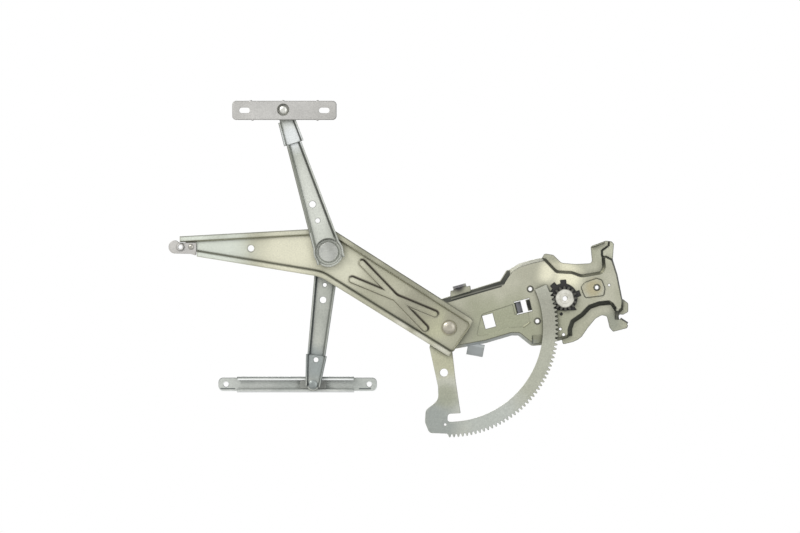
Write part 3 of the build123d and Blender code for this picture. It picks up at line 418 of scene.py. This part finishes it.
    height = times(tree, noise(tree, place, SKIN_SCALE), peel)
    height = math_node(tree, "MULTIPLY_ADD", spangle, SPANGLE_HEIGHT, height)
    height = math_node(tree, "MULTIPLY_ADD", lines, -SCRATCH_DEPTH, height)
    surface(tree, colour, ZINC_METALLIC, gloss, height, ZINC_RELIEF, round_normal)
    return made


# ---------------------------------------------------------------- turned steel and plastic

STEEL_METALLIC = 0.9
STEEL_CLOUD_SCALE = 130.0
STEEL_CLOUD_SPREAD = (0.35, 0.65)
STEEL_CLOUD_DARKNESS = 0.5
STEEL_FINE_SCALE = 1500.0
STEEL_FINE_HEIGHT = 0.25
STEEL_EDGE_R = 0.0004
STEEL_CORNER_REACH = 0.005
STEEL_CORNER_SKY = (0.30, 0.90)
STEEL_CORNER_SHADE_SHARE = 0.30               # of the dark colour, painted into corners as shade
STEEL_GLOSS_SPREAD = (0.30, 0.70)
STEEL_GLOSS_LESS = 0.05
STEEL_GLOSS_MORE = 0.10
STEEL_RELIEF = (0.35, 0.0002)
RING_SCALE = 1400.0
RING_DETAIL = 2.0
RING_SPREAD = (0.45, 0.75)
RING_DARKNESS = 0.22
RING_HEIGHT = 0.5
DARK_TEETH = srgb(40, 40, 36)
DARK_TEETH_SPREAD = (0.3, 0.7)
DARK_TEETH_WAVER = (-0.0008, 0.0008)
DARK_TEETH_FADE = 0.0006
DARK_TEETH_COVER = 0.88


def turned_steel(name, base, dark, centre, rough=0.26, dark_from=None, corner_shade=0.4):
    """Cold headed or machined steel, with turning rings about an axis along Y through centre.

    Beyond a given radius it turns near black, and corners get painted shade."""
    made, tree = new_material(name)
    place = object_place(tree)
    cloud = noise(tree, place, STEEL_CLOUD_SCALE, CLOUD_DETAIL)
    radius = radius_from(tree, place, centre)
    rings = add(tree, "ShaderNodeTexNoise", {
        "W": times(tree, radius, RING_SCALE), "Scale": 1.0, "Detail": RING_DETAIL},
        noise_dimensions="1D").outputs["Fac"]
    corner = corner_here(tree, STEEL_CORNER_REACH, STEEL_CORNER_SKY)

    colour = mix(tree, remap(tree, cloud, STEEL_CLOUD_SPREAD, (0.0, STEEL_CLOUD_DARKNESS)),
                 base, dark)
    colour = mix(tree, remap(tree, rings, RING_SPREAD, (0.0, RING_DARKNESS)), colour, dark)
    # painted shade in corners, by how little of the sky they see
    colour = mix(tree, times(tree, corner, corner_shade), colour, scaled(dark, STEEL_CORNER_SHADE_SHARE))
    if dark_from:
        wavy_radius = math_node(tree, "ADD", radius, remap(tree, cloud, DARK_TEETH_SPREAD, DARK_TEETH_WAVER))
        cover = remap(tree, wavy_radius, (dark_from - DARK_TEETH_FADE, dark_from + DARK_TEETH_FADE),
                      (0.0, DARK_TEETH_COVER))
        colour = mix(tree, cover, colour, DARK_TEETH)

    gloss = remap(tree, cloud, STEEL_GLOSS_SPREAD, (rough - STEEL_GLOSS_LESS,
                                                    rough + STEEL_GLOSS_MORE))
    gloss = math_node(tree, "MULTIPLY_ADD", corner, CORNER_ROUGH, gloss, clamp=True)
    height = times(tree, noise(tree, place, STEEL_FINE_SCALE), STEEL_FINE_HEIGHT)
    height = math_node(tree, "MULTIPLY_ADD", rings, RING_HEIGHT, height)
    surface(tree, colour, STEEL_METALLIC, gloss, height, STEEL_RELIEF,
            bevelled(tree, STEEL_EDGE_R))
    return made


PLASTIC_ROUGH = 0.48
PLASTIC_CLOUD_SCALE = 60.0
PLASTIC_CLOUD_SPREAD = (0.35, 0.70)
PLASTIC_GRAIN_SCALE = 2600.0
PLASTIC_EDGE_R = 0.0005
PLASTIC_EDGE_BENDS = (0.99, 0.88)
PLASTIC_EDGE_WEAR = 0.6
PLASTIC_GLOSS_SPREAD = (0.30, 0.70)
PLASTIC_GLOSS_LESS = 0.06
PLASTIC_GLOSS_MORE = 0.12
PLASTIC_RELIEF = (0.30, 0.0002)
DUST_SCALE = 420.0
DUST_DETAIL = 3.0
DUST_SPREAD = (0.60, 0.72)
DUST_COVER = 0.35


def moulded(name, base, worn):
    """Moulded plastic with a fine grain, dust and paler rubbed edges."""
    made, tree = new_material(name)
    place = object_place(tree)
    cloud = noise(tree, place, PLASTIC_CLOUD_SCALE, CLOUD_DETAIL)
    dust = noise(tree, place, DUST_SCALE, DUST_DETAIL)
    round_normal = bevelled(tree, PLASTIC_EDGE_R)
    rubbed = remap(tree, flatness_here(tree, round_normal), PLASTIC_EDGE_BENDS,
                   (0.0, PLASTIC_EDGE_WEAR))
    colour = mix(tree, remap(tree, cloud, PLASTIC_CLOUD_SPREAD, (0.0, DUST_COVER)), base, worn)
    colour = mix(tree, remap(tree, dust, DUST_SPREAD, (0.0, DUST_COVER)), colour, worn)
    colour = mix(tree, rubbed, colour, worn)
    gloss = remap(tree, cloud, PLASTIC_GLOSS_SPREAD, (PLASTIC_ROUGH - PLASTIC_GLOSS_LESS,
                                                      PLASTIC_ROUGH + PLASTIC_GLOSS_MORE))
    surface(tree, colour, 0.0, gloss, noise(tree, place, PLASTIC_GRAIN_SCALE), PLASTIC_RELIEF,
            round_normal)
    return made


# ---------------------------------------------------------------- wear, painted light and painted shade of each piece

PLATE_STAINS_AND_PAINTED_LIGHT = [
    (0.004, 0.028, 0.026, srgb(240, 237, 210), 0.95, "face"),      # painted highlight above the drive, here and on the next line
    (-0.024, 0.034, 0.018, srgb(238, 235, 210), 0.9, "face"),
    (-0.046, 0.040, 0.026, srgb(176, 175, 157), 0.8, "face"),
    (-0.080, -0.034, 0.050, srgb(163, 166, 142), 0.85, "face"),    # olive below the recess
    (0.036, 0.013, 0.016, srgb(180, 172, 140), 0.9, "face"),       # tan pad
    (0.056, 0.060, 0.020, srgb(194, 195, 175), 0.8, "face"),
    (0.058, -0.030, 0.022, srgb(152, 155, 141), 0.9, "face"),
    (0.050, 0.052, 0.018, PAINTED_SHADE, 0.95, "walls"),                    # painted shade on the step in the upper lip
    (0.064, -0.010, 0.013, PAINTED_SHADE, 0.95, "walls"),                   # painted shade on the ramp below the right end
    (0.0755, -0.0285, 0.013, PAINTED_SHADE, 0.9, "walls"),                  # painted shade on the upper edge of the lower hook
    (-0.134, 0.017, 0.014, srgb(36, 34, 40), 0.97, "behind"),      # painted shade, near black, at the ends of the edge tabs
    # painted grey-blue shade on the foot tab
    (-0.113, -0.065, 0.022, srgb(184, 190, 192), 0.9, "behind"),
    (-0.075, -0.050, 0.050, srgb(186, 192, 192), 0.7, "behind"),   # lower wall, greyer: painted grey-blue shade of a wall that faces down
    (-0.0595, -0.0118, 0.010, srgb(160, 160, 168), 0.95, "behind"),    # lugs of the window: painted grey-blue shade on the left one
    # painted shadow, near black, on the right lug
    (-0.0440, -0.0080, 0.008, srgb(40, 41, 36), 0.95, "behind"),
]
PLATE_PAINTED_LINES = [
    ((-0.1110, 0.0082), (-0.0790, 0.0172), 0.0005, srgb(122, 122, 112), 0.85),     # upper wall: painted highlight along its bend
    # painted shade on the upper wall
    ((-0.1110, 0.0064), (-0.0800, 0.0151), 0.0005, PAINTED_SHADE, 0.85),
    ((-0.0478, -0.0332), (-0.0440, -0.0302), 0.0010, srgb(128, 128, 108), 0.85),   # recess: painted shade that dulls the highlight on its lower right corner
]

ARM_BEADS = [
    ((-0.2160, 0.0037), (-0.1765, -0.0373)),
    ((-0.2160, 0.0022), (-0.1640, -0.0193)),
]
# Painted light for the lower lip of the main arm, and painted shade for its upper lip.
ARM_LIP_PAINTED_SHADE = srgb(146, 146, 128)
ARM_LIP_SOFT_PAINTED_SHADE = srgb(176, 179, 164)
ARM_LIP_PAINTED_LIGHT = srgb(212, 211, 196)
ARM_STAINS_AND_PAINTED_LIGHT = [
    (-0.450, 0.066, 0.075, srgb(220, 226, 216), 0.9, "face"),      # paler to the free end
    # painted highlights at the hub, right of it and at the pivot
    (-0.345, 0.058, 0.060, srgb(226, 224, 202), 0.95, "face"),
    (-0.276, 0.036, 0.034, srgb(216, 215, 194), 0.95, "face"),
    (-0.168, -0.030, 0.030, srgb(200, 200, 168), 0.8, "face"),
    (-0.138, -0.030, 0.022, srgb(162, 160, 142), 0.8, "face"),
    (-0.188, -0.016, 0.046, srgb(150, 148, 131), 0.72, "face"),    # dull around the beads
    (-0.208, -0.036, 0.018, ARM_LIP_PAINTED_LIGHT, 0.85, "lip"),            # painted light along the lower lip, which faces up
    (-0.183, -0.052, 0.018, ARM_LIP_PAINTED_LIGHT, 0.85, "lip"),
    (-0.158, -0.068, 0.018, ARM_LIP_PAINTED_LIGHT, 0.85, "lip"),
    (-0.249, 0.063, 0.034, ARM_LIP_PAINTED_SHADE, 0.8, "lip"),              # painted shade along the upper lip, which faces down
    (-0.213, 0.040, 0.034, ARM_LIP_PAINTED_SHADE, 0.8, "lip"),
    (-0.176, 0.018, 0.034, ARM_LIP_PAINTED_SHADE, 0.8, "lip"),
    (-0.140, -0.005, 0.034, ARM_LIP_PAINTED_SHADE, 0.6, "lip"),
    # softer painted shade along the upper lip towards the free end
    (-0.335, 0.112, 0.040, ARM_LIP_SOFT_PAINTED_SHADE, 0.8, "lip"),
    (-0.385, 0.110, 0.040, ARM_LIP_SOFT_PAINTED_SHADE, 0.8, "lip"),
    (-0.440, 0.106, 0.040, ARM_LIP_SOFT_PAINTED_SHADE, 0.8, "lip"),
]
ARM_LIP_HEIGHT = 0.0100

SECTOR_STAINS = [
    (-0.165, -0.160, 0.055, srgb(158, 164, 160), 0.9, "face"),     # curved foot
    (-0.150, -0.075, 0.040, srgb(186, 185, 156), 0.8, "face"),     # leg below the pivot
    (-0.090, -0.150, 0.060, srgb(188, 193, 188), 0.8, "face"),
    (-0.149, -0.121, 0.024, srgb(162, 165, 146), 0.8, "face"),
    (-0.022, -0.020, 0.045, srgb(163, 163, 150), 0.9, "face"),     # band beside the drive
]

UPPER_ARM_STAINS = [
    (-0.2978, 0.0589, 0.021, srgb(208, 210, 204), 2.5, "walls"),   # cup around the hub
    (-0.3416, 0.2030, 0.024, srgb(230, 234, 235), 0.9, "face"),    # end fitting
]
UPPER_ARM_PAINTED_LINES = [
    ((-0.3353, 0.1369), (-0.3213, 0.0839), 0.0015, srgb(126, 128, 117), 0.72),     # painted shade along the left lip
]
LOWER_ARM_STAINS = [(-0.318, -0.082, 0.034, srgb(156, 163, 162), 0.9, "face")]     # end fitting
BRACKET_PAINTED_SHADE = [(-0.3544, 0.2371, 0.011, srgb(168, 168, 162), 2.5, "walls")]     # painted soft shade on the walls of the dish

RAIL_PAINTED_SHADOW = srgb(70, 76, 78)
RAIL_PAINTED_LINES = [
    ((-0.3398, -0.1024), (-0.2680, -0.1024), 0.0007, srgb(252, 254, 255), 0.75),   # painted highlight along the upper wall
    ((-0.4257, -0.1141), (-0.4170, -0.1141), 0.0006, RAIL_PAINTED_SHADOW, 0.8),              # pads: painted shadow lines under them
    ((-0.2520, -0.1141), (-0.2450, -0.1141), 0.0006, RAIL_PAINTED_SHADOW, 0.8),
]

DRIVE = (0.0, 0.0)
PINION_BOSS_R = 0.0112

PLAIN_RIVET = (srgb(190, 188, 180), srgb(124, 122, 113), 0.4)
RIVETS = {                             # base and dark colour, and how much shade is painted into corners
    "main_stud": (srgb(202, 197, 183), srgb(130, 125, 109), 0.25),
    "main_washer": PLAIN_RIVET,
    "tongue_rivet": PLAIN_RIVET,
    "cross_spacer": PLAIN_RIVET,
    "bracket_pin": (srgb(226, 226, 221), srgb(180, 180, 173), 0.05),
    "shoe_pin": (srgb(158, 164, 162), srgb(112, 118, 117), 0.4),
}


def dress(finish, *members):
    """Give the pieces that finish."""
    for member in members:
        materials = NODES[member].data.materials
        materials.clear()
        materials.append(finish)


def centre_of(node):
    low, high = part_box(node)
    return ((low[0] + high[0]) / 2, (low[2] + high[2]) / 2)


dress(plated("plate_zinc_finish", srgb(176, 176, 157), srgb(190, 189, 172), srgb(158, 160, 137),
             cloud_size=0.034, peel=0.55, wide=0.97, bend=0.0022, bend_range=(0.91, 0.993),
             stains_and_painted_light=PLATE_STAINS_AND_PAINTED_LIGHT, painted_lines=PLATE_PAINTED_LINES),
      "base_plate")
dress(plated("arm_zinc_finish", srgb(182, 181, 160), srgb(192, 191, 171), srgb(168, 168, 148),
             cloud_size=0.045, bend=0.0032, bend_range=(0.965, 0.9994), lean=(0.42, 0.35, 0.45),
             corner_shade=0.30, stains_and_painted_light=ARM_STAINS_AND_PAINTED_LIGHT, lip_height=ARM_LIP_HEIGHT, beads=ARM_BEADS,
             bead_shade=srgb(62, 56, 48), bead_light=srgb(172, 170, 152)),
      "main_arm")
dress(plated("sector_zinc_finish", srgb(188, 190, 176), srgb(199, 200, 189),
             srgb(174, 176, 160), cloud_size=0.040, stains_and_painted_light=SECTOR_STAINS),
      "sector_gear")
dress(plated("upper_zinc_finish", srgb(204, 207, 199), srgb(218, 221, 213), srgb(180, 184, 174),
             cloud_size=0.035, corner_shade=0.40, bend=0.0022, bend_range=(0.90, 0.99),
             lean=(0.65, -0.40, 0.0), stains_and_painted_light=UPPER_ARM_STAINS, painted_lines=UPPER_ARM_PAINTED_LINES),
      "upper_cross_arm", "upper_arm_end")
dress(plated("lower_zinc_finish", srgb(184, 187, 179), srgb(196, 198, 190), srgb(160, 164, 155),
             BLUE_PAINTED_SHADE, cloud_size=0.035, corner_shade=0.50, bend=0.0022, bend_range=(0.90, 0.99),
             lean=(0.70, 0.30, 0.0), stains_and_painted_light=LOWER_ARM_STAINS),
      "lower_cross_arm", "lower_arm_end")
dress(plated("bracket_zinc_finish", srgb(190, 189, 186), srgb(197, 196, 193),
             srgb(178, 177, 173), peel=0.2, wall=0.5, corner_shade=0.10, stains_and_painted_light=BRACKET_PAINTED_SHADE),
      "glass_bracket")
dress(plated("rail_zinc_finish", srgb(190, 194, 189), srgb(206, 209, 204), srgb(166, 172, 167),
             RAIL_PAINTED_SHADE, cloud_size=0.035, corner_shade=0.22, wall=0.95, lean=(0.30, 0.0, 2.0),
             bend=0.0020, bend_range=(0.88, 0.99), glint=0.95, painted_lines=RAIL_PAINTED_LINES),
      "guide_rail")
dress(plated("tongue_zinc_finish", srgb(196, 194, 191), srgb(206, 204, 200),
             srgb(166, 165, 160), cloud_size=0.020),
      "lift_tongue")
# the nuts' dark colour is painted shade, for the shaded rings around their bores
dress(plated("nut_zinc_painted_shade_finish", srgb(104, 104, 94), srgb(124, 124, 112), srgb(78, 78, 70),
             cloud_size=0.010, peel=0.1),
      "motor_nuts")
dress(plated("bush_bronze_finish", srgb(164, 160, 138), srgb(176, 172, 148),
             srgb(140, 136, 116), BRONZE_PAINTED_SHADE, cloud_size=0.006, peel=0.1, corner_shade=0.2),
      "main_bush", "cross_bush")
dress(plated("hub_steel_finish", srgb(181, 183, 178), srgb(193, 195, 189), srgb(163, 165, 159),
             rough=0.34, cloud_size=0.008, peel=0.15, scratch=1.0, wall=0.35,
             lean=(0.35, 0.5, 0.5), corner_shade=0.0),
      "cross_hub")
dress(turned_steel("gear_steel_finish", srgb(222, 221, 211), srgb(150, 148, 136), DRIVE,
                   rough=0.34, dark_from=PINION_BOSS_R),
      "pinion", "drive_coupling")
dress(moulded("bearing_plastic_finish", srgb(26, 26, 25), srgb(60, 60, 56)), "drive_bearing")
dress(moulded("shoe_plastic_finish", srgb(150, 153, 148), srgb(172, 174, 168)), "rail_shoe")
for rivet, (base, dark, corner_shade) in RIVETS.items():
    dress(turned_steel("rivet_steel_" + rivet, base, dark, centre_of(rivet), corner_shade=corner_shade),
          rivet)


# ---------------------------------------------------------------- floor, world, lamps, camera

def round_floor():
    """A pale round floor that fades out, so that it has no edge or horizon."""
    mesh = bpy.data.meshes.new("studio_floor")
    angles = [math.tau * index / FLOOR_CORNERS for index in range(FLOOR_CORNERS)]
    corners = [(FLOOR_END * math.cos(angle) + VIEW_CENTRE.x, FLOOR_END * math.sin(angle),
                FLOOR_LEVEL) for angle in angles]
    mesh.from_pydata(corners, [], [list(range(FLOOR_CORNERS))])
    floor = bpy.data.objects.new("studio_floor", mesh)
    bpy.context.scene.collection.objects.link(floor)
    made, tree = new_material("studio_floor")
    middle = (VIEW_CENTRE.x, 0.0, FLOOR_LEVEL)
    radius = vector_node(tree, "LENGTH",
                         vector_node(tree, "SUBTRACT", object_place(tree), middle),
                         output="Value")
    gone = remap(tree, radius, (FLOOR_SOLID, FLOOR_GONE), smooth=True)
    pale = add(tree, "ShaderNodeBsdfDiffuse", {"Color": FLOOR_COLOUR})
    clear = add(tree, "ShaderNodeBsdfTransparent")
    faded = add(tree, "ShaderNodeMixShader")
    for index, value in enumerate((gone, pale.outputs["BSDF"], clear.outputs["BSDF"])):
        plug(tree, faded.inputs[index], value)
    add(tree, "ShaderNodeOutputMaterial", {"Surface": faded.outputs["Shader"]})
    mesh.materials.append(made)


def studio_world():
    """White to the eye and in reflections, and a dimmer even light on diffuse surfaces."""
    world = bpy.data.worlds.new("studio")
    world.use_nodes = True
    tree = world.node_tree
    tree.nodes.clear()
    ray = add(tree, "ShaderNodeLightPath").outputs
    seen = math_node(tree, "MAXIMUM", ray["Is Camera Ray"], ray["Is Glossy Ray"])
    seen = math_node(tree, "MAXIMUM", seen, ray["Is Transmission Ray"])
    light = add(tree, "ShaderNodeBackground", {
        "Color": (1.0, 1.0, 1.0, 1.0),
        "Strength": remap(tree, seen, (0.0, 1.0), (AMBIENT, 1.0))})
    add(tree, "ShaderNodeOutputWorld", {"Surface": light.outputs["Background"]})
    bpy.context.scene.world = world


def round_lamp(name, place, diameter, watts, colour):
    """A soft round lamp aimed at the regulator, which the camera doesn't see."""
    data = bpy.data.lights.new(name, "AREA")
    data.shape = "DISK"
    data.size = diameter
    data.energy = watts
    data.color = colour
    lamp = bpy.data.objects.new(name, data)
    lamp.location = place
    lamp.rotation_euler = (LAMP_AIM - Vector(place)).to_track_quat("-Z", "Y").to_euler()
    lamp.visible_camera = False
    bpy.context.scene.collection.objects.link(lamp)


def front_camera():
    """A camera square to the front, at the distance where VIEW_WIDTH fills the frame."""
    data = bpy.data.cameras.new("camera")
    data.lens = LENS
    data.sensor_width = SENSOR
    data.clip_end = VIEW_END
    camera = bpy.data.objects.new("camera", data)
    camera.location = VIEW_CENTRE - Vector((0.0, VIEW_WIDTH * LENS / SENSOR, 0.0))
    camera.rotation_euler = (math.radians(90.0), 0.0, 0.0)
    bpy.context.scene.collection.objects.link(camera)
    bpy.context.scene.camera = camera


round_floor()
studio_world()
for lamp_settings in LAMPS:
    round_lamp(*lamp_settings)
front_camera()
bpy.context.scene.view_settings.view_transform = "Standard"
